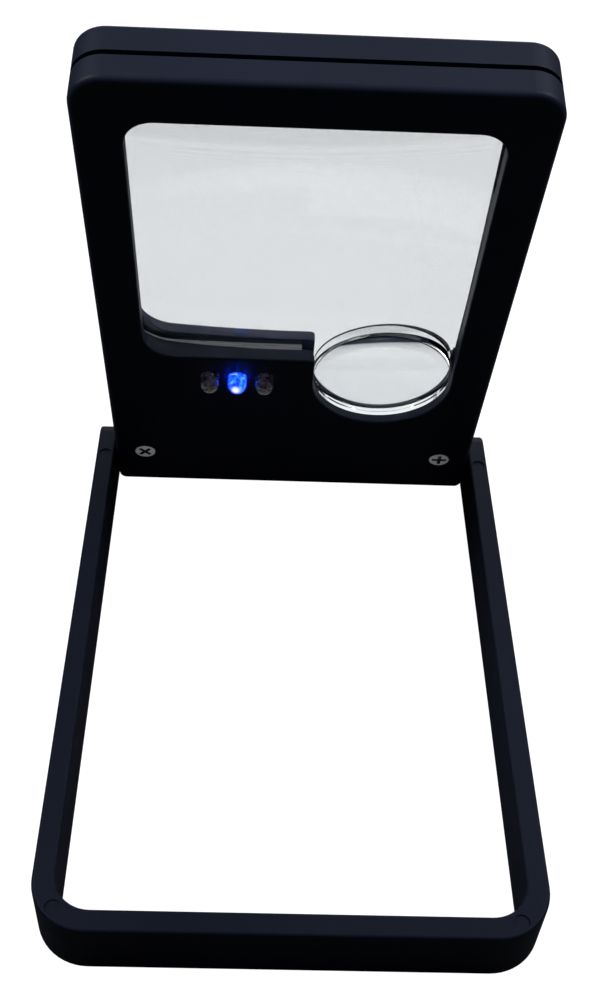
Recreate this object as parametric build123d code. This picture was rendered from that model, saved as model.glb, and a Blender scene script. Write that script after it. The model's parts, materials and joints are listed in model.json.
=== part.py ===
from build123d import *
import math
import os

# Folding pocket magnifier: a flat rectangular lens head swings between the arms of a U-shaped stand frame.
#
# Row frame: +X right, +Y from the frame's cross bar back to the hinge, +Z up. The origin is under the
# middle of the object, on the surface that the stand frame lies on.
#
# Head parts are drawn flat first: x across the head, y up the head from the hinge axis, and z out of the
# front face from the middle of the head's thickness. place_head() then stands them up at the hinge.

# ---- driving dimensions, mm and degrees ----
HEAD_W = 60.5
HEAD_T = 9.5
HEAD_TOP = 89.55
HEAD_FOOT = -2.35
HEAD_TILT = 14.45
HEAD_CORNER_R = 4.5
FOOT_CORNER_R = 1.2
FRONT_EDGE_R = 0.8
REAR_EDGE_R = 0.6

FRAME_W = 67.2
FRAME_H = 10.0
FRAME_WALL = 3.0
CROSS_BAR = 3.1
FRAME_REACH = 92.7
FRAME_CORNER_R = 7.4
FRAME_INNER_R = 4.9
FRAME_EDGE_R = 0.4
ARM_TAIL = 2.2
ARM_END_R = 3.2

PIN_R = 0.75
PIN_INNER_X = 24.8
PIN_RECESS = 0.2
PRESS_GAP = 0.02
RUNNING_GAP = 0.05
BUSH_R = 1.4
BUSH_X0 = 25.0
BUSH_X1 = 29.8
WASHER_R = 1.8
WASHER_T = 0.3

SEAM_LOW = -0.25
SEAM_HIGH = 0.55
WALL = 1.7
SKIRT = 0.8
TONGUE_T = 0.8
TONGUE_TOP = 1.45
FRONT_SKIN = 1.5
REAR_SKIN = 2.35
THIN_SKIN = 1.5
RIB = 1.0

WINDOW_X0 = -23.85
WINDOW_X1 = 24.1
WINDOW_LOW = 34.5
WINDOW_HIGH = 82.65
WINDOW_TOP_R = 3.9
WINDOW_FOOT_R = 4.9
WINDOW_EDGE_R = 0.35
LEDGE_END_R = 0.8

LENS_MARGIN = 1.3
LENS_FOOT_LAP = 0.3
LENS_CORNER_R = 6.0
LENS_LOUPE_CORNER_R = 1.0
LENS_SURFACE_R = 196.0
LENS_FRONT_APEX = 3.98
LENS_REAR_APEX = -2.18
LENS_GAP = 0.1
LENS_TAIL_X0 = 0.4
LENS_TAIL_X1 = 24.0
LENS_TAIL_Y = 31.2
COLLAR_Z = 2.55
LENS_STOP_Z = -0.76
WINDOW_RIM_W = 1.0
WINDOW_RIM_Z = -2.0

LOUPE_Y = 28.8
LOUPE_R = 10.8
LOUPE_RIM_Z0 = -1.45
LOUPE_RIM_Z1 = 3.25
LOUPE_SURFACE_R = 60.0
LOUPE_BORE_R = 10.87
LOUPE_CUT_R = 10.85
LOUPE_LEDGE_R = 10.4
LOUPE_LEDGE_Z0 = -2.2
LOUPE_LEDGE_Z1 = -1.58
LOUPE_WALL = 1.2
LOUPE_WEB_TOP = 31.0
LOUPE_FLARE_R = 12.8

LED_Y = 29.6
LED_MID_X = -9.55
LED_PITCH = 4.28
LED_R = 1.5
LED_HEIGHT = 5.3
LED_FLANGE_R = 1.9
LED_FLANGE_T = 1.0
LED_HOLE_R = 1.55
LEAD_PITCH = 2.54
LEAD_W = 0.5
LEAD_END_Z = -0.6

BOARD_X0 = -21.5
BOARD_X1 = 0.2
BOARD_Y0 = 24.6
BOARD_Y1 = 32.0
BOARD_Z0 = -0.1
BOARD_Z1 = 0.9
PEG_R = 0.7
PEG_Y = 26.2
PEG_X = (-20.3, -1.2)
PEG_END_Z = -0.6

SWITCH_X = -11.5
SWITCH_Y = 26.6
SWITCH_L = 8.5
SWITCH_D = 3.6
SWITCH_Z0 = -3.1
SWITCH_TRAVEL = 4.0
STEM_END_Z = -4.65
CAN_WALL = 0.4
LEVER_BASE_L = 3.4
LEVER_STEM = 1.3
BUTTON_L = 3.2
BUTTON_D = 2.6
BUTTON_Z0 = -4.95
BUTTON_Z1 = -4.25
THUMB_L = 9.0
THUMB_D = 4.2
THUMB_DEPTH = 0.6

CELL_X = -11.5
CELL_Y = 12.4
CELL_R = 10.0
CELL_T = 1.6
CELL_CAP_R = 8.8
CELL_CAP_T = 0.25
CELL_STACK_Z0 = -2.2
CELL_RING_R = 10.4
CELL_RING_T = 0.8

COVER_R = 11.4
COVER_FLANGE_T = 0.7
COVER_PLUG_R = 10.2
COVER_HOLE_R = 10.35
COVER_INNER_Z = -2.25
LUG_R = 11.2
LUG_Z0 = -3.1
LUG_Z1 = -2.4
LUG_ARC = 36.0
NOTCH_ARC = 42.0
LOCK_TURN = 45.0

SCREW_X = 25.3
SCREW_Y = 6.7
SCREW_HEAD_R = 1.85
SCREW_HEAD_T = 1.2
SCREW_TOP_Z = 4.65
SCREW_R = 1.0
SCREW_END_Z = -2.4
FRONT_BOSS_R = 2.6
REAR_BOSS_R = 2.3
CROSS_SLOT = 0.6
CROSS_REACH = 2.5
CROSS_DEPTH = 0.9

CONTACT_T = 0.25
CONTACT_W = 3.0

# ---- derived places ----
HALF_T = HEAD_T / 2
HINGE_Z = FRAME_H / 2
LOUPE_X = WINDOW_X1 - LOUPE_BORE_R
SIN_TILT = math.sin(math.radians(HEAD_TILT))
COS_TILT = math.cos(math.radians(HEAD_TILT))
# how far the head's rounded rear foot edge reaches behind the hinge axis
FOOT_REACH = (HALF_T - REAR_EDGE_R) * COS_TILT - (HEAD_FOOT + REAR_EDGE_R) * SIN_TILT + REAR_EDGE_R
HINGE_Y = (FRAME_REACH - FOOT_REACH) / 2
FRONT_INNER_Z = HALF_T - FRONT_SKIN
REAR_INNER_Z = REAR_SKIN - HALF_T
THIN_INNER_Z = THIN_SKIN - HALF_T
WINDOW_MID_Y = (WINDOW_LOW + WINDOW_HIGH) / 2
LENS_W = 2 * (WINDOW_X1 + LENS_MARGIN)
LENS_LOW = WINDOW_LOW - LENS_FOOT_LAP
LENS_HIGH = WINDOW_HIGH + LENS_MARGIN
LED_BASE_Z = FRONT_INNER_Z - LED_FLANGE_T
LED_SPOTS = [LED_MID_X + side * LED_PITCH for side in (-1, 0, 1)]
SWITCH_REST_X = SWITCH_X - SWITCH_TRAVEL / 2
RIB_END_Z = SEAM_HIGH + 0.1


# ---- shape helpers ----
def block(x0, x1, y0, y1, z0, z1):
    """A box between two corners."""
    return Pos((x0 + x1) / 2, (y0 + y1) / 2, (z0 + z1) / 2) * Box(x1 - x0, y1 - y0, z1 - z0)


def post(x, y, r, z0, z1):
    """An upright round post."""
    return Pos(x, y, (z0 + z1) / 2) * Cylinder(r, z1 - z0)


def tube(x, y, r_out, r_in, z0, z1):
    """An upright round tube."""
    return post(x, y, r_out, z0, z1) - post(x, y, r_in, z0, z1)


def prism(sketch, z0, z1):
    """A flat outline pulled up between two heights."""
    return extrude(Pos(0, 0, z0) * sketch, z1 - z0)


def lying_rod(x0, x1, r):
    """A round rod along the hinge axis."""
    return Pos((x0 + x1) / 2, 0, 0) * Rot(0, 90, 0) * Cylinder(r, x1 - x0)


def rounded_rectangle(x0, x1, y0, y1, r):
    return Pos((x0 + x1) / 2, (y0 + y1) / 2) * RectangleRounded(x1 - x0, y1 - y0, r)


def bent_strip(points, x0, x1):
    """Sheet metal of contact thickness, bent along points in the y-z plane, from x0 to x1."""
    profile = trace(Polyline(*points), line_width=CONTACT_T)
    return extrude(Plane.YZ.offset(x0) * profile, x1 - x0)


def sector(x, y, r, arc, middle, z0, z1):
    """A pie slice, used for bayonet lugs and their notches."""
    reach = 2 * r
    half = math.radians(arc / 2)
    rise = reach * math.tan(half)
    wedge = make_face(Polyline((0, 0), (reach, -rise), (reach, rise), (0, 0)))
    turned = Pos(x, y) * Rot(0, 0, middle) * wedge
    return post(x, y, r, z0, z1) & prism(turned, z0, z1)


def place_head(shape):
    """Stands a flat-drawn head part up at the hinge, leaning over the stand frame."""
    return Location((0, HINGE_Y, HINGE_Z), (90 + HEAD_TILT, 0, 0)) * shape


def place_hinge(shape):
    """Puts a part drawn about the hinge axis into the row frame."""
    return Pos(0, HINGE_Y, HINGE_Z) * shape


# ---- stand frame ----
def stand_frame():
    """U-shaped frame: two arms and a cross bar, with a pin bore through each arm's end."""
    front = HINGE_Y - FRAME_REACH
    tail = HINGE_Y + ARM_TAIL
    half = FRAME_W / 2
    inner = half - FRAME_WALL
    outline = Pos(0, (front + tail) / 2) * Rectangle(FRAME_W, tail - front)
    outline = fillet(outline.vertices().sort_by(Axis.Y)[:2], FRAME_CORNER_R)
    opening_front = front + CROSS_BAR
    opening = Pos(0, (opening_front + tail + 10) / 2) * Rectangle(2 * inner, tail + 10 - opening_front)
    opening = fillet(opening.vertices().sort_by(Axis.Y)[:2], FRAME_INNER_R)
    frame = extrude(outline - opening, FRAME_H)
    tail_edges = frame.edges().filter_by(Axis.X).group_by(Axis.Y)[-1]
    frame = fillet(tail_edges, ARM_END_R)
    flat_edges = frame.faces().filter_by(Axis.Z).edges()
    face_edges = flat_edges.filter_by(lambda e: e.center().Y < tail - ARM_END_R - 0.01)
    frame = fillet(face_edges, FRAME_EDGE_R)
    frame -= place_hinge(lying_rod(-half - 1, half + 1, PIN_R + PRESS_GAP))
    for x, y in ejector_marks():
        frame -= post(x, y, 1.05, FRAME_H - 0.2, FRAME_H + 1)
    return frame


def ejector_marks():
    """Round marks that the mould's ejector pins leave in the frame's upper face."""
    mid = (FRAME_W - FRAME_WALL) / 2
    corner_x = FRAME_W / 2 - FRAME_CORNER_R
    corner_y = HINGE_Y - FRAME_REACH + FRAME_CORNER_R
    bend = FRAME_CORNER_R - FRAME_WALL / 2
    spots = [(-mid, HINGE_Y - 6.4), (mid, HINGE_Y - 6.8)]
    for side, angle in ((-1, 45), (1, 58)):
        turn = math.radians(angle)
        spots.append((side * (corner_x + bend * math.cos(turn)), corner_y - bend * math.sin(turn)))
    return spots


def hinge_pin(side):
    """Steel pin pressed into an arm. Its inner end turns in the head's bush."""
    x0, x1 = PIN_INNER_X, FRAME_W / 2 - PIN_RECESS
    pin = lying_rod(x0, x1, PIN_R)
    pin = chamfer(pin.edges().filter_by(GeomType.CIRCLE), 0.15)
    return place_hinge(pin if side > 0 else mirror(pin, Plane.YZ))


def hinge_washer(side):
    """Thin spacer that centres the head between the arms."""
    gap_mid = (HEAD_W / 2 + FRAME_W / 2 - FRAME_WALL) / 2
    x0, x1 = gap_mid - WASHER_T / 2, gap_mid + WASHER_T / 2
    washer = lying_rod(x0, x1, WASHER_R) - lying_rod(x0, x1, PIN_R + RUNNING_GAP)
    return place_hinge(washer if side > 0 else mirror(washer, Plane.YZ))


# ---- head outlines ----
def head_outline(inset=0.0):
    low, high = HEAD_FOOT + inset, HEAD_TOP - inset
    outline = Pos(0, (low + high) / 2) * Rectangle(HEAD_W - 2 * inset, high - low)
    outline = fillet(outline.vertices().sort_by(Axis.Y)[-2:], HEAD_CORNER_R - inset)
    return fillet(outline.vertices().sort_by(Axis.Y)[:2], max(FOOT_CORNER_R - inset, 0.3))


def window_outline():
    """The square window, with the round loupe's slot running down out of its lower right corner."""
    slot_left = LOUPE_X - LOUPE_BORE_R
    sides = Polyline(
        (WINDOW_X1, LOUPE_Y),
        (WINDOW_X1, WINDOW_HIGH),
        (WINDOW_X0, WINDOW_HIGH),
        (WINDOW_X0, WINDOW_LOW),
        (slot_left, WINDOW_LOW),
        (slot_left, LOUPE_Y),
    )
    seat = ThreePointArc((slot_left, LOUPE_Y), (LOUPE_X, LOUPE_Y - LOUPE_BORE_R), (WINDOW_X1, LOUPE_Y))
    window = make_face(sides + seat)
    window = fillet(window.vertices().sort_by_distance((slot_left, WINDOW_LOW, 0))[0], LEDGE_END_R)
    window = fillet(window.vertices().sort_by_distance((WINDOW_X0, WINDOW_LOW, 0))[0], WINDOW_FOOT_R)
    return fillet(window.vertices().group_by(Axis.Y)[-1], WINDOW_TOP_R)


def lens_outline(grow=0.0):
    lens_h = LENS_HIGH - LENS_LOW
    outline = Pos(0, (LENS_LOW + LENS_HIGH) / 2) * Rectangle(LENS_W + 2 * grow, lens_h + 2 * grow)
    by_loupe = outline.vertices().sort_by_distance((HEAD_W, 0, 0))[0]
    outline = fillet(by_loupe, LENS_LOUPE_CORNER_R + grow)
    far_left = outline.vertices().group_by(Axis.X)[0]
    outline = fillet(far_left, LENS_CORNER_R + grow)
    return fillet(outline.vertices().sort_by_distance((HEAD_W, HEAD_TOP, 0))[0], LENS_CORNER_R + grow)


def loupe_wall(z0, z1):
    """Wall round the lower half of the loupe, with a short straight web up each side."""
    outer_r = LOUPE_CUT_R + LOUPE_WALL
    wall = lower_half_tube(outer_r, LOUPE_BORE_R, z0, z1)
    wall += block(LOUPE_X - outer_r, LOUPE_X - LOUPE_BORE_R, LOUPE_Y, LOUPE_WEB_TOP, z0, z1)
    return wall + block(LOUPE_X + LOUPE_BORE_R, LOUPE_X + outer_r, LOUPE_Y, LOUPE_WEB_TOP, z0, z1)


def lower_half_tube(r_out, r_in, z0, z1):
    lower = block(LOUPE_X - r_out, LOUPE_X + r_out, LOUPE_Y - r_out, LOUPE_Y, z0, z1)
    return tube(LOUPE_X, LOUPE_Y, r_out, r_in, z0, z1) & lower


# ---- head shells ----
def shell_slab(z0, z1, face):
    """Outer body of one shell: rounded outer face edges, and the window cut through."""
    slab = prism(head_outline(), z0, z1)
    edge_r = FRONT_EDGE_R if face > 0 else REAR_EDGE_R
    slab = fillet(outer_face(slab, face).outer_wire().edges(), edge_r)
    slab -= prism(window_outline(), z0 - 1, z1 + 1)
    return fillet(outer_face(slab, face).inner_wires()[0].edges(), WINDOW_EDGE_R)


def outer_face(solid, face):
    """The flat face at the front (face 1) or the rear (face -1)."""
    ordered = solid.faces().filter_by(Axis.Z).sort_by(Axis.Z)
    return ordered[-1] if face > 0 else ordered[0]


def hinge_saddles(z0, z1):
    """Blocks at the foot corners that clamp the hinge bushes."""
    inner_x = HEAD_W / 2 - WALL
    low, high = HEAD_FOOT + WALL, BUSH_R + 1.4
    saddles = block(PIN_INNER_X - 0.2, inner_x, low, high, z0, z1)
    return saddles + mirror(saddles, Plane.YZ)


def bush_bore():
    return lying_rod(-HEAD_W, -PIN_INNER_X + 0.2, BUSH_R + PRESS_GAP) + lying_rod(
        PIN_INNER_X - 0.2, HEAD_W, BUSH_R + PRESS_GAP
    )


def front_shell():
    """Front half of the case: carries the lens frame, the lamps, the board pegs and the cell ring."""
    shell = shell_slab(SEAM_HIGH, HALF_T, 1)
    shell -= prism(head_outline(WALL), SEAM_HIGH, FRONT_INNER_Z)
    shell -= prism(head_outline(SKIRT), SEAM_HIGH, TONGUE_TOP + 0.1)
    ribs = prism(lens_outline(LENS_GAP + RIB), RIB_END_Z, FRONT_INNER_Z)
    ribs -= block(LENS_TAIL_X0 - LENS_GAP, HEAD_W, 0, LENS_LOW, RIB_END_Z, FRONT_INNER_Z)
    ribs -= prism(lens_outline(LENS_GAP), RIB_END_Z, COLLAR_Z)
    ribs -= prism(window_outline(), RIB_END_Z, FRONT_INNER_Z)
    shell += ribs
    shell += loupe_wall(RIB_END_Z, FRONT_INNER_Z)
    ring = tube(CELL_X, CELL_Y, CELL_RING_R + CELL_RING_T, CELL_RING_R, CELL_STACK_Z0, FRONT_INNER_Z)
    shell += ring - block(CELL_X - 5, CELL_X + 5, CELL_Y, BOARD_Y0, CELL_STACK_Z0, FRONT_INNER_Z)
    shell += hinge_saddles(0.15, FRONT_INNER_Z)
    for x in PEG_X:
        shell += post(x, PEG_Y, PEG_R, PEG_END_Z, FRONT_INNER_Z)
    for x in (-SCREW_X, SCREW_X):
        shell += post(x, SCREW_Y, FRONT_BOSS_R, RIB_END_Z, FRONT_INNER_Z)
        shell -= post(x, SCREW_Y, SCREW_R + 0.1, SEAM_LOW, HALF_T)
        shell -= post(x, SCREW_Y, SCREW_HEAD_R + 0.1, SCREW_TOP_Z - SCREW_HEAD_T, HALF_T + 1)
    for x in LED_SPOTS:
        shell -= post(x, LED_Y, LED_HOLE_R, 0, HALF_T + 1)
    return shell - bush_bore()


def rear_shell():
    """Rear half of the case: the seam tongue, the screw bosses, the cover's seat and the switch slot."""
    shell = shell_slab(-HALF_T, SEAM_LOW, -1)
    shell -= prism(head_outline(WALL), REAR_INNER_Z, SEAM_LOW)
    inset = SKIRT + RUNNING_GAP
    tongue = prism(head_outline(inset), SEAM_LOW, TONGUE_TOP)
    shell += tongue - prism(head_outline(inset + TONGUE_T), SEAM_LOW, TONGUE_TOP)
    shell += loupe_wall(REAR_INNER_Z, SEAM_HIGH)
    shell -= loupe_flare()
    shell += lower_half_tube(LOUPE_BORE_R + 0.1, LOUPE_LEDGE_R, LOUPE_LEDGE_Z0, LOUPE_LEDGE_Z1)
    shell += hinge_saddles(REAR_INNER_Z, 0.1)
    shell += window_rim()
    for side in (-1, 1):
        x = side * (WINDOW_X1 + RIB)
        low_y, high_y = WINDOW_MID_Y - 13, WINDOW_MID_Y + 13
        shell += block(x - RIB / 2, x + RIB / 2, low_y, high_y, REAR_INNER_Z, LENS_STOP_Z)
    for x in (-SCREW_X, SCREW_X):
        shell += post(x, SCREW_Y, REAR_BOSS_R, REAR_INNER_Z, SEAM_HIGH)
        shell -= post(x, SCREW_Y, SCREW_R + PRESS_GAP, SCREW_END_Z - 0.1, SEAM_HIGH)
    shell -= post(CELL_X, CELL_Y, COVER_R + 0.5, THIN_INNER_Z, REAR_INNER_Z)
    shell -= post(CELL_X, CELL_Y, COVER_R + 0.1, -HALF_T - 1, COVER_FLANGE_T + 0.05 - HALF_T)
    shell -= post(CELL_X, CELL_Y, COVER_HOLE_R, -HALF_T, REAR_INNER_Z)
    for middle in (0, 180):
        shell -= sector(CELL_X, CELL_Y, LUG_R + 0.15, NOTCH_ARC, middle - LOCK_TURN, -HALF_T, THIN_INNER_Z)
    shell -= switch_pocket()
    return shell - bush_bore()


def loupe_flare():
    """The loupe's seat opens out like a funnel toward the rear face, round its lower half."""
    height = REAR_INNER_Z + HALF_T
    funnel = Pos(LOUPE_X, LOUPE_Y, REAR_INNER_Z - height / 2) * Cone(LOUPE_FLARE_R, LOUPE_BORE_R, height)
    reach = LOUPE_FLARE_R + 1
    return funnel & block(LOUPE_X - reach, LOUPE_X + reach, LOUPE_Y - reach, LOUPE_Y, -HEAD_T, 0)


def window_rim():
    """Low rim round the window, inside the rear shell."""
    rim = rounded_rectangle(
        WINDOW_X0 - WINDOW_RIM_W,
        WINDOW_X1 + WINDOW_RIM_W,
        WINDOW_LOW - WINDOW_RIM_W,
        WINDOW_HIGH + WINDOW_RIM_W,
        WINDOW_FOOT_R,
    )
    return prism(rim, REAR_INNER_Z, WINDOW_RIM_Z) - prism(window_outline(), REAR_INNER_Z, WINDOW_RIM_Z)


def switch_pocket():
    """Room for the switch: a thinned skin, a thumb recess outside, and the lever's slot between them."""
    half_l, half_d = THUMB_L / 2, THUMB_D / 2
    recess_z = THUMB_DEPTH - HALF_T
    pocket = block(SWITCH_X - 5, SWITCH_X + 5, SWITCH_Y - 2.1, SWITCH_Y + 2.1, THIN_INNER_Z, REAR_INNER_Z)
    thumb = rounded_rectangle(
        SWITCH_X - half_l, SWITCH_X + half_l, SWITCH_Y - half_d, SWITCH_Y + half_d, half_d - 0.1
    )
    pocket += prism(thumb, -HALF_T - 1, recess_z)
    slot_l = SWITCH_TRAVEL + LEVER_STEM + 0.4
    pocket += Pos(SWITCH_X, SWITCH_Y, (recess_z + THIN_INNER_Z) / 2) * Box(
        slot_l, LEVER_STEM + 0.3, THIN_INNER_Z - recess_z + 0.2
    )
    return pocket


# ---- lenses ----
def ball(x, y, apex, r, face):
    """A sphere whose top (face 1) or bottom (face -1) is at height apex."""
    return Pos(x, y, apex - face * r) * Sphere(r)


def main_lens():
    """Square biconvex acrylic lens, with a short tail below the ledge that wraps over the loupe."""
    lens = prism(lens_outline(), -HALF_T, HALF_T)
    lens += block(LENS_TAIL_X0, LENS_TAIL_X1, LENS_TAIL_Y, LENS_LOW + 1, -HALF_T, HALF_T)
    lens &= ball(0, WINDOW_MID_Y, LENS_FRONT_APEX, LENS_SURFACE_R, 1)
    lens &= ball(0, WINDOW_MID_Y, LENS_REAR_APEX, LENS_SURFACE_R, -1)
    return lens - post(LOUPE_X, LOUPE_Y, LOUPE_CUT_R, -HALF_T, HALF_T)


def loupe_lens():
    """Round high-power lens, with its rim resting on the rear shell's ledge."""
    bulge = LOUPE_SURFACE_R - math.sqrt(LOUPE_SURFACE_R**2 - LOUPE_R**2)
    lens = post(LOUPE_X, LOUPE_Y, LOUPE_R, LOUPE_RIM_Z0 - bulge, LOUPE_RIM_Z1 + bulge)
    lens &= ball(LOUPE_X, LOUPE_Y, LOUPE_RIM_Z1 + bulge, LOUPE_SURFACE_R, 1)
    return lens & ball(LOUPE_X, LOUPE_Y, LOUPE_RIM_Z0 - bulge, LOUPE_SURFACE_R, -1)


# ---- lamps and circuit ----
def lamp(x):
    """Clear epoxy body of a 3 mm lamp: flange behind the front skin, barrel and dome in front of it."""
    dome_z = LED_BASE_Z + LED_HEIGHT - LED_R
    body = post(x, LED_Y, LED_FLANGE_R, LED_BASE_Z, LED_BASE_Z + LED_FLANGE_T)
    body += post(x, LED_Y, LED_R, LED_BASE_Z, dome_z)
    return body + Pos(x, LED_Y, dome_z) * Sphere(LED_R)


def lamp_leads():
    """Two square wire leads under each lamp, soldered through the board."""
    half = LEAD_W / 2
    spots = [x + side * LEAD_PITCH / 2 for x in LED_SPOTS for side in (-1, 1)]
    return [block(x - half, x + half, LED_Y - half, LED_Y + half, LEAD_END_Z, LED_BASE_Z) for x in spots]


def circuit_board():
    board = block(BOARD_X0, BOARD_X1, BOARD_Y0, BOARD_Y1, BOARD_Z0, BOARD_Z1)
    for x in PEG_X:
        board -= post(x, PEG_Y, PEG_R + RUNNING_GAP, BOARD_Z0, BOARD_Z1)
    for x in LED_SPOTS:
        for side in (-1, 1):
            board -= post(x + side * LEAD_PITCH / 2, LED_Y, LEAD_W * 0.75, BOARD_Z0, BOARD_Z1)
    for x in terminal_spots():
        board -= post(x, SWITCH_Y, 0.3, BOARD_Z0, BOARD_Z1)
    return board


def resistors():
    """Two surface-mounted current-limiting resistors."""
    return [block(x - 1, x + 1, 27.5, 28.7, BOARD_Z1, BOARD_Z1 + 0.5) for x in (-18.6, -2.2)]


# ---- slide switch ----
def terminal_spots():
    return [SWITCH_X + 2 * (i - 1.5) for i in range(4)]


def switch_housing():
    """Pressed metal can under the board, slotted for the lever."""
    half_l, half_d = SWITCH_L / 2, SWITCH_D / 2
    can = block(
        SWITCH_X - half_l, SWITCH_X + half_l, SWITCH_Y - half_d, SWITCH_Y + half_d, SWITCH_Z0, BOARD_Z0
    )
    inner_l, inner_d = half_l - CAN_WALL, half_d - CAN_WALL
    can -= block(
        SWITCH_X - inner_l, SWITCH_X + inner_l, SWITCH_Y - inner_d, SWITCH_Y + inner_d,
        SWITCH_Z0 + 0.3, BOARD_Z0 - 0.4
    )
    slot = (SWITCH_TRAVEL + LEVER_STEM + 0.3) / 2
    can -= block(
        SWITCH_X - slot, SWITCH_X + slot, SWITCH_Y - 0.75, SWITCH_Y + 0.75, SWITCH_Z0, SWITCH_Z0 + 0.3
    )
    for x in terminal_spots():
        can -= post(x, SWITCH_Y, 0.3, BOARD_Z0 - 0.4, BOARD_Z0)
    return can


def switch_terminals():
    """Four pins from the switch's contacts up through the board."""
    return [post(x, SWITCH_Y, 0.2, BOARD_Z0 - 0.5, BOARD_Z1 + 0.3) for x in terminal_spots()]


def switch_lever():
    """Sliding lever: a base inside the can and a stem out through the rear shell."""
    x, y, half = SWITCH_REST_X, SWITCH_Y, LEVER_STEM / 2
    base = block(x - LEVER_BASE_L / 2, x + LEVER_BASE_L / 2, y - 1.3, y + 1.3, SWITCH_Z0 + 0.35, -1.75)
    return base + block(x - half, x + half, y - half, y + half, STEM_END_Z, SWITCH_Z0 + 0.35)


def switch_wiper():
    """Springy copper bridge on the lever that joins neighbouring contacts."""
    x, y = SWITCH_REST_X, SWITCH_Y
    profile = trace(Polyline((x - 1.4, -1.65), (x, -1.05), (x + 1.4, -1.65)), line_width=0.16)
    return extrude(Plane.XZ.offset(-y - 0.9) * profile, 1.8)


def switch_button():
    """Ribbed thumb button on the lever's stem."""
    x, y, half = SWITCH_REST_X, SWITCH_Y, LEVER_STEM / 2 + PRESS_GAP
    button = prism(
        rounded_rectangle(x - BUTTON_L / 2, x + BUTTON_L / 2, y - BUTTON_D / 2, y + BUTTON_D / 2, 0.5),
        BUTTON_Z0,
        BUTTON_Z1,
    )
    button -= block(x - half, x + half, y - half, y + half, STEM_END_Z - PRESS_GAP, BUTTON_Z1)
    for step in (-1, 0, 1):
        groove_x = x + step * 0.8
        button -= block(groove_x - 0.15, groove_x + 0.15, y - 2, y + 2, BUTTON_Z0 - 1, BUTTON_Z0 + 0.15)
    return button


# ---- power ----
def coin_cell(z0):
    """A lithium coin cell: wide positive can behind, narrower negative cap in front."""
    can = post(CELL_X, CELL_Y, CELL_R, z0, z0 + CELL_T - CELL_CAP_T)
    return can + post(CELL_X, CELL_Y, CELL_CAP_R, z0 + CELL_T - CELL_CAP_T, z0 + CELL_T)


def negative_contact():
    """Leaf spring between the front skin and the cells, with a tail down to the board."""
    stack_top = CELL_STACK_Z0 + 2 * CELL_T
    pad_z = stack_top + CONTACT_T / 2
    tail_z = FRONT_INNER_Z - CONTACT_T / 2
    points = [(7, pad_z), (11, pad_z), (18, tail_z), (25.7, tail_z), (25.7, BOARD_Z1)]
    return bent_strip(points, CELL_X - 4, CELL_X - 4 + CONTACT_W)


def positive_contact():
    """Leaf against the cells' rims, bent over onto the board."""
    rim_y = CELL_Y + CELL_R + CONTACT_T / 2 + 0.02
    points = [(rim_y, -1.9), (rim_y, BOARD_Z1 + CONTACT_T / 2), (26.0, BOARD_Z1 + CONTACT_T / 2)]
    return bent_strip(points, CELL_X + 1, CELL_X + 1 + CONTACT_W)


def battery_cover():
    """Coin-slot bayonet cover, flush with the rear face."""
    cover = post(CELL_X, CELL_Y, COVER_R, -HALF_T, COVER_FLANGE_T - HALF_T)
    cover = chamfer(cover.edges().filter_by(GeomType.CIRCLE).sort_by(Axis.Z)[0], 0.25)
    cover += post(CELL_X, CELL_Y, COVER_PLUG_R, -HALF_T + 0.3, COVER_INNER_Z)
    cover -= post(CELL_X, CELL_Y, COVER_PLUG_R - 2.4, -3.4, COVER_INNER_Z)
    for middle in (0, 180):
        lug = sector(CELL_X, CELL_Y, LUG_R, LUG_ARC, middle, LUG_Z0, LUG_Z1)
        cover += lug - post(CELL_X, CELL_Y, COVER_PLUG_R - 1, LUG_Z0, LUG_Z1)
    slot = rounded_rectangle(CELL_X - 7, CELL_X + 7, CELL_Y - 0.9, CELL_Y + 0.9, 0.85)
    return cover - prism(slot, -HALF_T - 1, -HALF_T + 0.7)


# ---- hinge and fasteners in the head ----
def hinge_bush(side):
    """Brass bush clamped between the shells, turning on the hinge pin."""
    bush = lying_rod(BUSH_X0, BUSH_X1, BUSH_R) - lying_rod(BUSH_X0, BUSH_X1, PIN_R + RUNNING_GAP)
    return bush if side > 0 else mirror(bush, Plane.YZ)


def case_screw(x, slot_angle):
    """Cross-slot screw from the front shell into the rear shell's boss."""
    head_low = SCREW_TOP_Z - SCREW_HEAD_T
    head = post(x, SCREW_Y, SCREW_HEAD_R, head_low, SCREW_TOP_Z)
    head = fillet(head.edges().filter_by(GeomType.CIRCLE).sort_by(Axis.Z)[-1], 0.25)
    screw = head + post(x, SCREW_Y, SCREW_R, SCREW_END_Z, head_low)
    for turn in (0, 90):
        blade = Pos(x, SCREW_Y, SCREW_TOP_Z) * Rot(0, 0, slot_angle + turn) * Box(
            CROSS_REACH, CROSS_SLOT, 2 * CROSS_DEPTH
        )
        screw -= blade
    return screw


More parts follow.
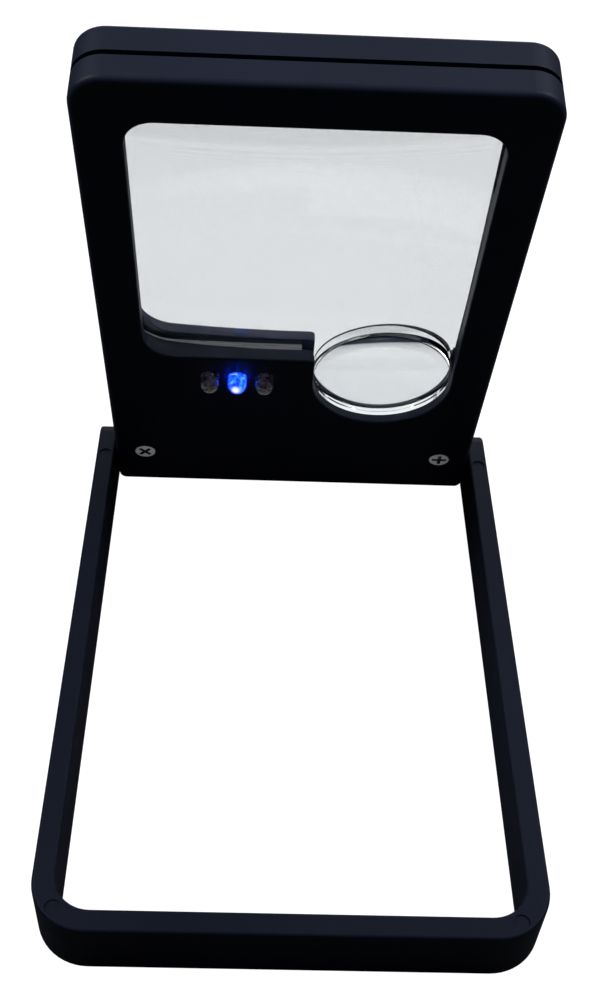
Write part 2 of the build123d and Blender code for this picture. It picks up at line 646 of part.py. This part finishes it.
def build():
    """Every sub-part by name, each a list of solids in the row frame."""
    parts = {"stand_frame": [stand_frame()]}
    head = {
        "front_shell": [front_shell()],
        "rear_shell": [rear_shell()],
        "main_lens": [main_lens()],
        "loupe_lens": [loupe_lens()],
        "led_leads": lamp_leads(),
        "circuit_board": [circuit_board()],
        "resistors": resistors(),
        "switch_housing": [switch_housing()],
        "switch_terminals": switch_terminals(),
        "switch_lever": [switch_lever()],
        "switch_wiper": [switch_wiper()],
        "switch_button": [switch_button()],
        "coin_cell_rear": [coin_cell(CELL_STACK_Z0)],
        "coin_cell_front": [coin_cell(CELL_STACK_Z0 + CELL_T)],
        "negative_contact": [negative_contact()],
        "positive_contact": [positive_contact()],
        "battery_cover": [battery_cover()],
        "case_screws": [case_screw(-SCREW_X, 45), case_screw(SCREW_X, 0)],
    }
    for name, x in zip(("led_white_left", "led_uv_centre", "led_white_right"), LED_SPOTS):
        head[name] = [lamp(x)]
    for name, side in (("left", -1), ("right", 1)):
        parts[f"hinge_pin_{name}"] = [hinge_pin(side)]
        parts[f"hinge_washer_{name}"] = [hinge_washer(side)]
        head[f"hinge_bush_{name}"] = [hinge_bush(side)]
    for name, shapes in head.items():
        parts[name] = [place_head(shape) for shape in shapes]
    return parts


def write_parts():
    os.makedirs("parts", exist_ok=True)
    for name, shapes in build().items():
        solids = [solid for shape in shapes for solid in shape.solids()]
        export_step(Compound(solids) if len(solids) > 1 else solids[0], f"parts/{name}.step")


write_parts()
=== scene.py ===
import json
import math
import bpy
import bmesh
from mathutils import Matrix, Vector

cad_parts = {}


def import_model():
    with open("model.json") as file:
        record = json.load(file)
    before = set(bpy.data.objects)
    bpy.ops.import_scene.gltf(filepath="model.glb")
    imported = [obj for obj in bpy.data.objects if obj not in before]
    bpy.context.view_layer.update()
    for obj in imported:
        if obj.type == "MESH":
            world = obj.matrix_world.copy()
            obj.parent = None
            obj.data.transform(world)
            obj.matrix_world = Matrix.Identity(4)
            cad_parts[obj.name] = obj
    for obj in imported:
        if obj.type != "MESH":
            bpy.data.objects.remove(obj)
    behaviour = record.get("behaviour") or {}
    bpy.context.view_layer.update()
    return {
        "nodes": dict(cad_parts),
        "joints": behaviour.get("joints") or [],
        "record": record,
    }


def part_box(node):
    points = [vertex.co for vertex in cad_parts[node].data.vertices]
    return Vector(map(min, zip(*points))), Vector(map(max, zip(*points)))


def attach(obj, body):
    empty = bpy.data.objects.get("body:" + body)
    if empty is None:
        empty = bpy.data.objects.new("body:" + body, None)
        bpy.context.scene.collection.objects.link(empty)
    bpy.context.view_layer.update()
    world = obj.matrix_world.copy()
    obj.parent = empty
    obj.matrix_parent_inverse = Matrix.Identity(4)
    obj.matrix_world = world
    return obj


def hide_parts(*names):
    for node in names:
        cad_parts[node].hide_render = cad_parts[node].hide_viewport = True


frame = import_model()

MM = 0.001

HINGE_JOINT = next(j for j in frame["joints"] if j["name"] == "head_hinge")
HINGE = Vector(HINGE_JOINT["pos_m"])
TILT = math.radians(90 - HINGE_JOINT["range_deg"][1])
# head coordinates: x across, y up the head from the hinge, z out of the front face
HEAD = Matrix.Translation(HINGE) @ Matrix.Rotation(math.pi / 2 + TILT, 4, "X")

# sizes and places in the head, in mm and head coordinates
WINDOW_HALF = 24.1
LOUPE_SEAT_R = 10.87
# the loupe's seat just touches the window's right side
LOUPE_X, LOUPE_Y = WINDOW_HALF - LOUPE_SEAT_R, 28.8
LENS_HALF, LENS_LOW, LENS_HIGH = 25.4, 34.2, 83.95
LENS_MID_Y = 58.575
LENS_RADIUS = 196.0
LENS_FRONT, LENS_REAR = 3.98, -2.18
LENS_CORNER, LENS_FOOT_CORNER = 6.0, 1.0
LENS_CUT_R = 10.85
TAIL_X0, TAIL_X1, TAIL_Y = 0.4, 24.0, 31.2
LAMP_Y, LAMP_BASE, LAMP_R, LAMP_H = 29.6, 2.25, 1.5, 5.3
FLANGE_R, FLANGE_H = 1.9, 1.0


def lamp_x(node):
    """Where the lamp's axis lies across the head, in mm."""
    low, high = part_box(node)
    return (low[0] + high[0]) / 2 / MM


LAMP_X = {node: lamp_x(node) for node in ("led_white_left", "led_uv_centre", "led_white_right")}
# just inside the lit lamp's tip, a little to the left of its axis and above it
HOT_SPOT = ((LAMP_X["led_uv_centre"] - 0.2) * MM, (LAMP_Y + 0.4) * MM, (LAMP_BASE + LAMP_H - 0.15) * MM)


# ------------------------------------------------------------------ material helpers
class Nodes:
    """A material's node tree, with short calls to add and wire nodes."""

    def __init__(self, name):
        self.material = bpy.data.materials.new(name)
        self.material.use_nodes = True
        self.tree = self.material.node_tree
        self.shader = self.tree.nodes["Principled BSDF"]
        self.coords = self.tree.nodes.new("ShaderNodeTexCoord").outputs["Object"]

    def add(self, kind, links=None, values=None, **settings):
        node = self.tree.nodes.new(kind)
        for key, value in settings.items():
            setattr(node, key, value)
        for key, value in (values or {}).items():
            node.inputs[key].default_value = value
        for key, source in (links or {}).items():
            self.tree.links.new(source, node.inputs[key])
        return node

    def link(self, source, target):
        self.tree.links.new(source, target)

    def set(self, **values):
        """Gives the shader's own sockets plain values, with _ for a space in a socket's name."""
        for key, value in values.items():
            self.shader.inputs[key.replace("_", " ")].default_value = value

    def noise(self, scale, detail=3.0, roughness=0.5, vector=None, distortion=0.0):
        """Fractal noise from 0 to 1, at scale waves per metre."""
        return self.add(
            "ShaderNodeTexNoise",
            {"Vector": vector or self.coords},
            {"Scale": scale, "Detail": detail, "Roughness": roughness, "Distortion": distortion},
        ).outputs["Fac"]

    def ramp(self, source, stops):
        """Turns a value into a colour or grey level, by (place, colour) stops."""
        node = self.add("ShaderNodeValToRGB", {"Fac": source})
        elements = node.color_ramp.elements
        while len(elements) < len(stops):
            elements.new(0.5)
        for element, (place, colour) in zip(elements, stops):
            element.position = place
            element.color = (*colour, 1) if isinstance(colour, tuple) else (colour, colour, colour, 1)
        return node.outputs["Color"]

    def mix(self, fac, a, b):
        """Blends colour a into colour b by fac. Each may be a socket or a plain value."""
        node = self.add("ShaderNodeMix", data_type="RGBA")
        for socket, value in ((node.inputs[0], fac), (node.inputs[6], a), (node.inputs[7], b)):
            if isinstance(value, bpy.types.NodeSocket):
                self.link(value, socket)
            else:
                socket.default_value = (*value, 1) if isinstance(value, tuple) else value
        return node.outputs[2]

    def math(self, operation, a, b=0.5, c=0.5):
        node = self.add("ShaderNodeMath", operation=operation)
        for socket, value in zip(node.inputs, (a, b, c)):
            if isinstance(value, bpy.types.NodeSocket):
                self.link(value, socket)
            else:
                socket.default_value = value
        return node.outputs[0]

    def bump(self, height, strength, distance):
        node = self.add("ShaderNodeBump", {"Height": height}, {"Strength": strength, "Distance": distance})
        return node.outputs["Normal"]

    def spread(self, value, low, high, start=0.0, end=1.0):
        """Maps value from start..end to low..high."""
        limits = {"From Min": start, "From Max": end, "To Min": low, "To Max": high}
        return self.add("ShaderNodeMapRange", {"Value": value}, limits).outputs["Result"]

    def stretched(self, scale):
        """The object's coordinates scaled along its axes, for streaks."""
        return self.add("ShaderNodeMapping", {"Vector": self.coords}, {"Scale": scale}).outputs["Vector"]

    def finish(self, colour=None, roughness=None, normal=None):
        """Wires the maps to the shader and returns the finished material."""
        for socket, source in (("Base Color", colour), ("Roughness", roughness), ("Normal", normal)):
            if source:
                self.link(source, self.shader.inputs[socket])
        return self.material


def case_plastic(name, shade, specular):
    """Navy-black moulded plastic: a fine satin grain, faint smears and a few specks of dust. A shade below 1
    darkens the whole colour as painted shade.
    """
    n = Nodes(name)
    grain = n.noise(5200, 2.0, 0.6)
    smear = n.noise(95, 4.0, 0.6, distortion=0.6)
    cloud = n.noise(38, 3.0)
    low = (0.0080 * shade, 0.0118 * shade, 0.0262 * shade)
    high = (0.0112 * shade, 0.0160 * shade, 0.0340 * shade)
    tone = n.ramp(cloud, [(0.3, low), (0.7, high)])
    dust = n.add("ShaderNodeTexVoronoi", {"Vector": n.coords}, {"Scale": 260.0, "Randomness": 1.0})
    speck = n.ramp(dust.outputs["Distance"], [(0.0, 1.0), (0.04, 0.0)])
    rare = n.ramp(n.noise(61, 2.0), [(0.6, 0.0), (0.68, 1.0)])
    speck = n.math("MULTIPLY", speck, rare)
    colour = n.mix(n.math("MULTIPLY", speck, 0.12), tone, (0.25, 0.27, 0.3))
    n.set(Specular_IOR_Level=specular)
    return n.finish(colour, n.spread(smear, 0.42, 0.56), n.bump(grain, 0.28, 0.00003))


def acrylic(name, tint, smudge, ior=1.49):
    """Clear polished acrylic with a faint haze of fine wiping marks."""
    n = Nodes(name)
    marks = n.noise(240, 5.0, 0.65, distortion=1.2)
    n.set(Base_Color=(*tint, 1), IOR=ior, Transmission_Weight=1.0)
    return n.finish(roughness=n.ramp(marks, [(0.55, 0.0), (0.8, smudge)]))


def ground_edge():
    """The lens's sawn lower edge: smoky, streaked along its length and only half polished."""
    n = Nodes("acrylic_ground_edge")
    fine = n.noise(2600, 3.0, 0.6, vector=n.stretched((0.06, 1.0, 1.0)))
    colour = n.ramp(fine, [(0.35, (0.012, 0.013, 0.02)), (0.7, (0.1, 0.105, 0.125))])
    return n.finish(colour, n.ramp(fine, [(0.3, 0.2), (0.7, 0.5)]), n.bump(fine, 0.2, 0.00003))


def epoxy():
    """Water-clear lamp body, half see-through, its colour a grey mottle of painted shade and painted glints
    for the reflector and wires seen inside it.
    """
    n = Nodes("epoxy_clear")
    mottle_noise = n.noise(1500, 3.0, 0.6)
    # painted shade, a middle tone and painted glints, mottled through the lamp's colour
    shadow, middle, glint = (0.08, 0.07, 0.095), (0.24, 0.21, 0.28), (0.6, 0.56, 0.68)
    colour = n.ramp(mottle_noise, [(0.35, shadow), (0.52, middle), (0.68, glint)])
    n.set(IOR=1.53, Transmission_Weight=0.55)
    return n.finish(colour, n.ramp(mottle_noise, [(0.4, 0.05), (0.8, 0.2)]), n.bump(mottle_noise, 0.3, 0.0001))


def epoxy_lit():
    """The lit lamp: clear epoxy glowing blue from inside, with a white-hot spot near its tip."""
    n = Nodes("epoxy_lit")
    mottle_noise = n.noise(1500, 3.0, 0.6)
    deep, bright, pale = (0.005, 0.04, 1.0), (0.02, 0.2, 1.0), (0.2, 0.65, 1.0)
    mottle = n.ramp(mottle_noise, [(0.38, deep), (0.52, bright), (0.72, pale)])
    away = n.add("ShaderNodeVectorMath", {0: n.coords}, {1: HOT_SPOT}, operation="DISTANCE")
    colour = n.mix(n.spread(away.outputs["Value"], 0.0, 1.0, 0.3 * MM, 0.8 * MM), (1.0, 1.0, 1.0), mottle)
    facing = n.add("ShaderNodeLayerWeight", values={"Blend": 0.35}).outputs["Facing"]
    rim = n.ramp(facing, [(0.3, 0.0), (0.65, 1.0)])
    colour = n.mix(rim, colour, (0.0, 0.01, 1.0))
    n.link(colour, n.shader.inputs["Emission Color"])
    n.set(Base_Color=(0.01, 0.02, 0.2, 1), IOR=1.53, Transmission_Weight=0.3, Emission_Strength=1.0)
    return n.finish(roughness=n.ramp(mottle_noise, [(0.4, 0.1), (0.8, 0.25)]))


def glow():
    """The lit chip: blue-white and very bright, a little uneven."""
    n = Nodes("chip_glow")
    spot = n.noise(2500, 1.0)
    colour = n.ramp(spot, [(0.3, (0.35, 0.6, 1.0)), (0.6, (0.9, 0.97, 1.0))])
    n.link(colour, n.shader.inputs["Emission Color"])
    n.set(Emission_Strength=14.0)
    return n.finish(roughness=n.ramp(spot, [(0.2, 0.3), (0.9, 0.5)]))


def metal(name, dark, light, rough_low, rough_high, streak=(1, 1, 1), scale=900):
    """Metal with fine streaks or mottling along the object's own axes."""
    n = Nodes(name)
    fine = n.noise(scale, 4.0, 0.65, vector=n.stretched(streak))
    broad = n.noise(scale / 9, 2.0)
    blend = n.math("MULTIPLY_ADD", broad, 0.5, n.math("MULTIPLY", fine, 0.5))
    colour = n.ramp(blend, [(0.3, dark), (0.7, light)])
    n.set(Metallic=1.0)
    return n.finish(colour, n.spread(fine, rough_low, rough_high), n.bump(fine, 0.15, 0.00002))


def plain_plastic(name, dark, light, rough_low, rough_high):
    """Moulded plastic of one colour, with a fine grain and a slow drift in tone."""
    n = Nodes(name)
    fine = n.noise(1500, 3.0, 0.6)
    colour = n.ramp(n.noise(125, 3.0), [(0.3, dark), (0.7, light)])
    return n.finish(colour, n.spread(fine, rough_low, rough_high), n.bump(fine, 0.2, 0.00002))


def board():
    """Green solder mask, raised and paler over the tracks."""
    n = Nodes("board_green")
    tracks = n.add("ShaderNodeTexBrick", {"Vector": n.coords}, {"Scale": 260.0, "Mortar Size": 0.03})
    track = n.ramp(tracks.outputs["Fac"], [(0.4, 0.0), (0.6, 1.0)])
    colour = n.mix(track, (0.01, 0.12, 0.045), (0.03, 0.24, 0.09))
    rough = n.ramp(n.noise(1400, 3.0), [(0.3, 0.25), (0.7, 0.4)])
    return n.finish(colour, rough, n.bump(track, 0.3, 0.00004))


CASE = case_plastic("case_plastic", 1.0, 0.14)
# the stand is the same plastic as the case, painted darker: painted shade for the weaker light that falls on
# it
STAND = case_plastic("stand_plastic_painted_shade", 0.64, 0.07)
LENS = acrylic("acrylic_lens", (0.92, 0.945, 0.965), 0.05)
LOUPE = acrylic("acrylic_loupe", (0.88, 0.92, 0.945), 0.03)
# faces where the two lenses meet, with no bending of light between them
CEMENT = acrylic("optical_cement", (0.97, 0.98, 0.98), 0.02, ior=1.0)
EDGE = ground_edge()
EPOXY = epoxy()
EPOXY_LIT = epoxy_lit()
GLOW = glow()
STEEL = metal("steel_zinc", (0.3, 0.3, 0.31), (0.52, 0.52, 0.52), 0.36, 0.56)
SCREW = metal("screw_dark_zinc", (0.16, 0.17, 0.18), (0.3, 0.31, 0.32), 0.36, 0.56, scale=1800)
NICKEL = metal("nickel_cell", (0.5, 0.5, 0.49), (0.7, 0.7, 0.68), 0.18, 0.34, streak=(1, 8, 8), scale=700)
TIN = metal("tinned_lead", (0.5, 0.5, 0.48), (0.75, 0.75, 0.73), 0.2, 0.36, scale=1600)
BRASS = metal("brass_turned", (0.5, 0.36, 0.15), (0.74, 0.57, 0.29), 0.22, 0.38, streak=(12, 1, 1))
NYLON = plain_plastic("nylon_washer", (0.6, 0.58, 0.52), (0.75, 0.73, 0.68), 0.4, 0.55)
BOARD = board()
CHIP = plain_plastic("chip_black", (0.015, 0.015, 0.016), (0.04, 0.04, 0.042), 0.35, 0.5)
LEVER = plain_plastic("lever_black", (0.012, 0.013, 0.015), (0.025, 0.027, 0.03), 0.35, 0.5)

SLOT_MATERIAL = {
    "case_plastic": CASE,
    "lens_acrylic": LENS,
    "led_clear": EPOXY,
    "led_uv_lit": EPOXY_LIT,
    "tinned_wire": TIN,
    "steel": STEEL,
    "cell_steel": NICKEL,
    "brass": BRASS,
    "washer_nylon": NYLON,
    "board_green": BOARD,
    "chip_black": CHIP,
    "switch_black": LEVER,
}
for entry in frame["record"]["subparts"]:
    mesh = frame["nodes"][entry["node"]].data
    mesh.materials.clear()
    mesh.materials.append(SLOT_MATERIAL[entry["material_slot"]])
# the stand takes the darker copy of the case plastic, which is its painted shade
frame["nodes"]["stand_frame"].data.materials[0] = STAND
frame["nodes"]["case_screws"].data.materials[0] = SCREW


# ------------------------------------------------------------------ mesh helpers
# what the glowing sheet under the table lights, and what the tent over it lights
FLOOR_MIRRORS = [frame["nodes"]["case_screws"]]
CLEAR_PIECES = []


def head_piece(name, bm, materials, smooth_angle=30):
    """A piece of the head from bm, given in mm and head coordinates."""
    bmesh.ops.scale(bm, vec=(MM, MM, MM), verts=bm.verts)
    bmesh.ops.recalc_face_normals(bm, faces=bm.faces)
    mesh = bpy.data.meshes.new(name)
    bm.to_mesh(mesh)
    bm.free()
    for material in materials:
        mesh.materials.append(material)
    mesh.shade_smooth()
    mesh.set_sharp_from_angle(angle=math.radians(smooth_angle))
    piece = bpy.data.objects.new(name, mesh)
    bpy.context.scene.collection.objects.link(piece)
    piece.matrix_world = HEAD
    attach(piece, "head")
    return piece


def lathe(bm, profile, x, y, segments=64):
    """Turns (radius, z) pairs about the axis along z at x, y, and returns the rings of vertices."""
    rings = []
    for r, z in profile:
        if r == 0:
            rings.append([bm.verts.new((x, y, z))])
            continue
        ring = []
        for i in range(segments):
            a = 2 * math.pi * i / segments
            ring.append(bm.verts.new((x + r * math.cos(a), y + r * math.sin(a), z)))
        rings.append(ring)
    for low, high in zip(rings, rings[1:]):
        for i in range(segments):
            j = (i + 1) % segments
            corners = [low[i % len(low)], low[j % len(low)], high[j % len(high)], high[i % len(high)]]
            bm.faces.new(list(dict.fromkeys(corners)))
    return rings


# ------------------------------------------------------------------ lenses
def lens_edges(x):
    """Lowest and highest y of the main lens at x."""

    def corner(r):
        into = max(0.0, abs(x) - (LENS_HALF - r))
        return r - math.sqrt(r * r - into * into)

    low = LENS_LOW + corner(LENS_CORNER if x < 0 else LENS_FOOT_CORNER)
    arc = LOUPE_Y + math.sqrt(max(0.0, LENS_CUT_R**2 - (x - LOUPE_X) ** 2))
    if TAIL_X0 <= x <= TAIL_X1:
        low = max(TAIL_Y, arc)
    return low, LENS_HIGH - corner(LENS_CORNER)


def lens_columns():
    """Where the main lens's mesh has columns: close together round its corners and along the cut arc."""
    step, closest = 0.01, 0.004
    corner_steps, arc_steps = 8, 40
    columns = {TAIL_X0 - step, TAIL_X0, TAIL_X1, TAIL_X1 + step}
    for i in range(corner_steps + 1):
        into = 1 - math.cos(math.pi / 2 * i / corner_steps)
        corner = LENS_HALF - LENS_CORNER * into
        columns |= {corner, -corner, LENS_HALF - LENS_FOOT_CORNER * into}
    start = math.asin((TAIL_Y - LOUPE_Y) / LENS_CUT_R)
    for i in range(arc_steps + 1):
        turn = start + (math.pi - 2 * start) * i / arc_steps
        columns.add(LOUPE_X - LENS_CUT_R * math.cos(turn))
    columns |= set(range(-19, 3))
    xs = sorted(columns)
    return [x for i, x in enumerate(xs) if i == 0 or x - xs[i - 1] > closest]


def main_lens():
    """Square biconvex lens with an arc cut out for the loupe, as a grid of columns on two spheres."""
    rows = 48
    bm = bmesh.new()
    outlines = []
    for face in (1, -1):
        apex = LENS_FRONT if face > 0 else LENS_REAR
        grid = []
        for x in lens_columns():
            low, high = lens_edges(x)
            column = []
            for j in range(rows + 1):
                y = low + (high - low) * j / rows
                sag = LENS_RADIUS - math.sqrt(LENS_RADIUS**2 - x * x - (y - LENS_MID_Y) ** 2)
                column.append(bm.verts.new((x, y, apex - face * sag)))
            grid.append(column)
        for left, right in zip(grid, grid[1:]):
            for j in range(rows):
                bm.faces.new((left[j], right[j], right[j + 1], left[j + 1]))
        foot = [column[0] for column in grid]
        head = [column[-1] for column in grid[-2::-1]]
        outlines.append(foot + grid[-1][1:] + head + grid[0][-2:0:-1])
    front, back = outlines
    for i in range(len(front)):
        j = (i + 1) % len(front)
        wall = bm.faces.new((front[i], front[j], back[j], back[i]))
        mid = (front[i].co + front[j].co) / 2
        reach = math.hypot(mid.x - LOUPE_X, mid.y - LOUPE_Y)
        on_cut = abs(reach - LENS_CUT_R) < 0.03
        if on_cut and mid.y > TAIL_Y:
            wall.material_index = 1
        elif mid.x < TAIL_X0 and mid.y < LENS_LOW + LENS_CORNER:
            wall.material_index = 2
    piece = head_piece("lens_main", bm, (LENS, CEMENT, EDGE))
    CLEAR_PIECES.append(piece)
    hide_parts("main_lens")


def loupe_lens():
    """Round high-power lens with a chamfer at each face and a fine groove round the free part of its rim."""
    radius, surface_r, rim_front, rim_rear, bevel = 10.8, 60.0, 3.25, -1.45, 0.08
    groove_z, groove_half, groove_depth = 0.75, 0.3, 0.15
    joint_rear, joint_front = -0.8, 2.4
    edge_sag = surface_r - math.sqrt(surface_r**2 - radius**2)
    rings = 26
    rear, front = [], []
    for i in range(rings + 1):
        r = (radius - bevel) * i / rings
        bulge = edge_sag - surface_r + math.sqrt(surface_r**2 - r * r)
        rear.append((r, rim_rear - bulge))
        front.append((r, rim_front + bulge))
    groove = (radius - groove_depth, groove_z)
    rim = [(radius, rim_rear + bevel), (radius, joint_rear), (radius, groove_z - groove_half), groove]
    rim += [(radius, groove_z + groove_half), (radius, joint_front), (radius, rim_front - bevel)]
    profile = rear + rim + front[::-1]
    bm = bmesh.new()
    turned = lathe(bm, profile, LOUPE_X, LOUPE_Y, 160)
    # the groove stops where the main lens meets the rim
    for vert in turned[profile.index(groove)]:
        if vert.co.y > TAIL_Y:
            outward = Vector((vert.co.x - LOUPE_X, vert.co.y - LOUPE_Y, 0)).normalized()
            vert.co += outward * groove_depth
    for face in bm.faces:
        mid = face.calc_center_median()
        on_rim = math.hypot(mid.x - LOUPE_X, mid.y - LOUPE_Y) > radius - groove_depth / 2 - 0.03
        joined = on_rim and mid.y > TAIL_Y and joint_rear < mid.z < joint_front
        face.material_index = 1 if joined else 0
    piece = head_piece("lens_loupe", bm, (LOUPE, CEMENT), 25)
    CLEAR_PIECES.append(piece)
    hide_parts("loupe_lens")


main_lens()
loupe_lens()


# ------------------------------------------------------------------ lamps
def lamp(node, lit):
    """A 3 mm lamp: flanged epoxy body round a lead frame with its reflector cup and chip."""
    x = LAMP_X[node]
    bevel = 0.06
    shoulder = LAMP_BASE + FLANGE_H
    profile = [(0, LAMP_BASE), (FLANGE_R - bevel, LAMP_BASE), (FLANGE_R, LAMP_BASE + bevel)]
    profile += [(FLANGE_R, shoulder - bevel), (FLANGE_R - bevel, shoulder)]
    profile += [(LAMP_R + bevel, shoulder), (LAMP_R, shoulder + bevel)]
    dome = LAMP_BASE + LAMP_H - LAMP_R
    steps = 14
    for i in range(steps):
        a = math.pi / 2 * i / steps
        profile.append((LAMP_R * math.cos(a), dome + LAMP_R * math.sin(a)))
    profile.append((0, dome + LAMP_R))
    bm = bmesh.new()
    lathe(bm, profile, x, LAMP_Y)
    body = head_piece(node.replace("led", "lamp"), bm, (EPOXY_LIT if lit else EPOXY,), 35)
    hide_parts(node)
    FLOOR_MIRRORS.append(body)

    cup_x, post_x = x - 0.28, x + 0.85
    foot = LAMP_BASE + 0.2
    cup_floor = LAMP_BASE + 2.05
    cup_lip = LAMP_BASE + 2.35
    bm = bmesh.new()
    cup = [(0, foot), (0.4, foot), (0.42, LAMP_BASE + 1.5), (0.62, LAMP_BASE + 2.1)]
    cup += [(0.62, cup_lip), (0.5, cup_lip), (0.3, cup_floor), (0, cup_floor)]
    lathe(bm, cup, cup_x, LAMP_Y, 32)
    post_top = LAMP_BASE + 2.2
    post = [(0, foot), (0.24, foot), (0.24, post_top - 0.1), (0.15, post_top), (0, post_top)]
    lathe(bm, post, post_x, LAMP_Y, 24)
    head_piece(node.replace("led", "lead_frame"), bm, (TIN,), 35)

    chip_base = cup_floor + 0.01
    bm = bmesh.new()
    chip = [(0, chip_base), (0.3, chip_base), (0.26, chip_base + 0.2), (0, chip_base + 0.24)]
    lathe(bm, chip, cup_x, LAMP_Y, 24)
    head_piece(node.replace("led", "chip"), bm, (GLOW if lit else CHIP,), 35)


for lamp_node in LAMP_X:
    lamp(lamp_node, lit=lamp_node == "led_uv_centre")


# ------------------------------------------------------------------ camera, lights and floor
def paper(name, albedo, glow_strength):
    """White backing paper with a soft glow of its own."""
    n = Nodes(name)
    tone = n.ramp(n.noise(6, 3.0), [(0.3, albedo), (0.7, albedo * 1.04)])
    n.set(Emission_Color=(1, 1, 1, 1), Emission_Strength=glow_strength, Specular_IOR_Level=0.0)
    return n.finish(tone, n.ramp(n.noise(300, 2.0), [(0.3, 0.8), (0.7, 0.95)]))


def backdrop(name, profile, material):
    """A round stage surface turned about the upright axis, in metres, just under the table's level."""
    bm = bmesh.new()
    lathe(bm, profile, 0, 0, 96)
    for face in bm.faces:
        face.smooth = True
    mesh = bpy.data.meshes.new(name)
    bm.to_mesh(mesh)
    bm.free()
    mesh.materials.append(material)
    piece = bpy.data.objects.new(name, mesh)
    piece.location = (0, 0, -0.03 * MM)
    piece.visible_diffuse = False
    piece.visible_shadow = False
    bpy.context.scene.collection.objects.link(piece)
    return piece


def limit_glow(piece, receivers):
    """Keeps a glowing surface out of the camera's view and lets it light only some pieces."""
    piece.visible_camera = False
    lit = bpy.data.collections.new(piece.name + "_receivers")
    for receiver in receivers:
        lit.objects.link(receiver)
    piece.light_linking.receiver_collection = lit


def floor():
    """White sweep that the camera sees, and a glowing sheet that only the clear and bright parts mirror."""
    flat_r, bend_r, wall_top = 2.4, 0.8, 4
    sweep = [(0, 0), (0.2, 0), (0.6, 0), (1.5, 0), (flat_r, 0)]
    for i in range(1, 9):
        a = math.pi / 2 * i / 8
        sweep.append((flat_r + bend_r * math.sin(a), bend_r - bend_r * math.cos(a)))
    sweep.append((flat_r + bend_r, wall_top))
    seen = backdrop("floor", sweep, paper("floor_paper", 0.13, 1.03))
    seen.visible_glossy = False
    mirrored = backdrop("floor_glow", [(0, 0), (0.3, 0), (1.2, 0)], paper("glow_paper", 0.1, 0.5))
    limit_glow(mirrored, FLOOR_MIRRORS)


def ceiling():
    """White tent over the table, seen only by what is inside the clear lenses."""
    radius = 1.2
    angles = [math.radians(a) for a in range(5, 90, 6)]
    profile = [(radius * math.cos(a), radius * math.sin(a)) for a in angles]
    tent = backdrop("tent_glow", profile + [(0, radius)], paper("tent_paper", 0.1, 1.1))
    tent.visible_glossy = False
    limit_glow(tent, CLEAR_PIECES)


def add_light(name, data, place):
    """Links a light to the scene at a place in metres."""
    light = bpy.data.objects.new(name, data)
    light.location = place
    bpy.context.scene.collection.objects.link(light)
    return light


def area_light(name, place, target, size, power):
    """A rectangular softbox at place, turned to face target, in metres and watts."""
    data = bpy.data.lights.new(name, "AREA")
    data.shape = "RECTANGLE"
    data.size, data.size_y = size
    data.energy = power
    light = add_light(name, data, place)
    light.rotation_mode = "QUATERNION"
    light.rotation_quaternion = (Vector(target) - Vector(place)).to_track_quat("-Z", "Y")


def lamp_halo():
    """Small blue lights round the lit lamp's barrel, for its glow on the case."""
    count, ring_r, height = 8, 1.85, 5.15
    for i in range(count):
        turn = 2 * math.pi * i / count
        data = bpy.data.lights.new(f"halo_{i}", "POINT")
        data.energy = 0.00002
        data.color = (0.0, 0.02, 1.0)
        data.shadow_soft_size = 0.1 * MM
        x = LAMP_X["led_uv_centre"] + ring_r * math.cos(turn)
        y = LAMP_Y + ring_r * math.sin(turn)
        add_light(f"halo_{i}", data, HEAD @ Vector((x * MM, y * MM, height * MM)))


def camera():
    """Camera above and in front, looking down over the frame at the head."""
    yaw, pitch, roll = (math.radians(a) for a in (2.281, -44.764, 3.259))
    forward = Vector((math.sin(yaw) * math.cos(pitch), math.cos(yaw) * math.cos(pitch), math.sin(pitch)))
    right = Vector((math.cos(yaw), -math.sin(yaw), 0))
    up = right.cross(forward)
    side = math.cos(roll) * right + math.sin(roll) * up
    top = -math.sin(roll) * right + math.cos(roll) * up
    data = bpy.data.cameras.new("camera")
    data.sensor_width = 36
    data.lens = 47.21
    data.shift_x = 0.0036
    data.shift_y = -0.0221
    data.clip_start, data.clip_end = 0.01, 10
    cam = bpy.data.objects.new("camera", data)
    aside, back, above = -6.206 * MM, 168.891 * MM, 166.482 * MM
    place = Vector((aside, HINGE.y - back, above))
    axes = Matrix((side, top, -forward)).transposed().to_4x4()
    cam.matrix_world = Matrix.Translation(place) @ axes
    bpy.context.scene.collection.objects.link(cam)
    bpy.context.scene.camera = cam


def world():
    """Dim surround with a soft bright ceiling."""
    studio = bpy.data.worlds.new("studio")
    bpy.context.scene.world = studio
    studio.use_nodes = True
    tree = studio.node_tree
    back = tree.nodes["Background"]
    coords = tree.nodes.new("ShaderNodeTexCoord")
    split = tree.nodes.new("ShaderNodeSeparateXYZ")
    ramp = tree.nodes.new("ShaderNodeValToRGB")
    tree.links.new(coords.outputs["Generated"], split.inputs[0])
    tree.links.new(split.outputs["Z"], ramp.inputs[0])
    below, overhead = ramp.color_ramp.elements
    below.position, below.color = 0.0, (0.008, 0.008, 0.01, 1)
    overhead.position, overhead.color = 0.9, (0.12, 0.125, 0.14, 1)
    tree.links.new(ramp.outputs[0], back.inputs[0])
    back.inputs[1].default_value = 1.0


floor()
ceiling()
for side, x in (("left", -0.22), ("right", 0.22)):
    area_light(f"softbox_{side}", (x, 0.05, 0.3), (0, 0.02, 0.03), (0.14, 0.2), 0.62)
area_light("softbox_rear", (0.1, 0.8, 0.3), (0, 0.02, 0.04), (0.6, 0.35), 2.5)
lamp_halo()
camera()
world()
bpy.context.scene.view_settings.view_transform = "Standard"
